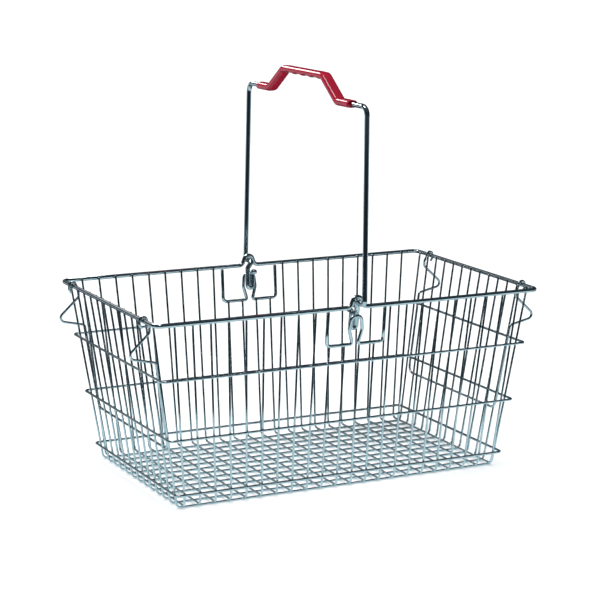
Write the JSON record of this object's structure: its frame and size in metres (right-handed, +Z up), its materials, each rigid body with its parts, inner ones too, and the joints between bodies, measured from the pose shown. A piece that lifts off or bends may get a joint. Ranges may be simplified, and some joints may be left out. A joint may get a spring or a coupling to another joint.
{
  "type": "shopping basket",
  "caption": "Tapered chromed wire shopping basket with a swinging bail handle, a raised plastic grip and a nest stop in each end wall.",
  "frame": {"origin": "on the floor, under the middle of the basket's body: the underside of the middle long wire", "axes": "+X along the basket, +Y across it from the front long wall to the back one, +Z up"},
  "size_m": [0.4808, 0.2905, 0.4368],
  "materials": {
    "chrome_wire": "polished chrome plate on round steel wire",
    "red_grip": "glossy red moulded plastic"
  },
  "bodies": {
    "basket": {"rim_wire": "chrome_wire", "upper_ring": "chrome_wire", "middle_ring": "chrome_wire", "lower_ring": "chrome_wire", "front_handle_bracket": "chrome_wire", "back_handle_bracket": "chrome_wire", "cross_wire_01": "chrome_wire", "cross_wire_02": "chrome_wire", "cross_wire_03": "chrome_wire", "cross_wire_04": "chrome_wire", "cross_wire_05": "chrome_wire", "cross_wire_06": "chrome_wire", "cross_wire_07": "chrome_wire", "cross_wire_08": "chrome_wire", "cross_wire_09": "chrome_wire", "cross_wire_10": "chrome_wire", "cross_wire_11": "chrome_wire", "cross_wire_12": "chrome_wire", "cross_wire_13": "chrome_wire", "cross_wire_14": "chrome_wire", "cross_wire_15": "chrome_wire", "cross_wire_16": "chrome_wire", "cross_wire_17": "chrome_wire", "cross_wire_18": "chrome_wire", "cross_wire_19": "chrome_wire", "cross_wire_20": "chrome_wire", "cross_wire_21": "chrome_wire", "cross_wire_22": "chrome_wire", "long_wire_01": "chrome_wire", "long_wire_02": "chrome_wire", "long_wire_03": "chrome_wire", "long_wire_04": "chrome_wire", "long_wire_05": "chrome_wire", "long_wire_06": "chrome_wire", "long_wire_07": "chrome_wire", "long_wire_08": "chrome_wire", "long_wire_09": "chrome_wire", "long_wire_10": "chrome_wire", "long_wire_11": "chrome_wire", "long_wire_12": "chrome_wire", "long_wire_13": "chrome_wire"},
    "handle": {"handle_bail": "chrome_wire", "handle_grip": "red_grip"},
    "left_stop": {"left_nest_stop": "chrome_wire"},
    "right_stop": {"right_nest_stop": "chrome_wire"}
  },
  "joints": [
    {"name": "handle_swing", "type": "hinge", "parent": "basket", "child": "handle", "pos_m": [0.002, 0, 0.2058], "axis": [0, 1, 0], "range_deg": [-89.5, 87.3]},
    {"name": "right_stop_swing", "type": "hinge", "parent": "basket", "child": "right_stop", "pos_m": [0.225, 0, 0.2003], "axis": [0, 1, 0], "range_deg": [0, 50]},
    {"name": "left_stop_swing", "type": "hinge", "parent": "basket", "child": "left_stop", "pos_m": [-0.225, 0, 0.2003], "axis": [0, -1, 0], "range_deg": [0, 50]}
  ]
}
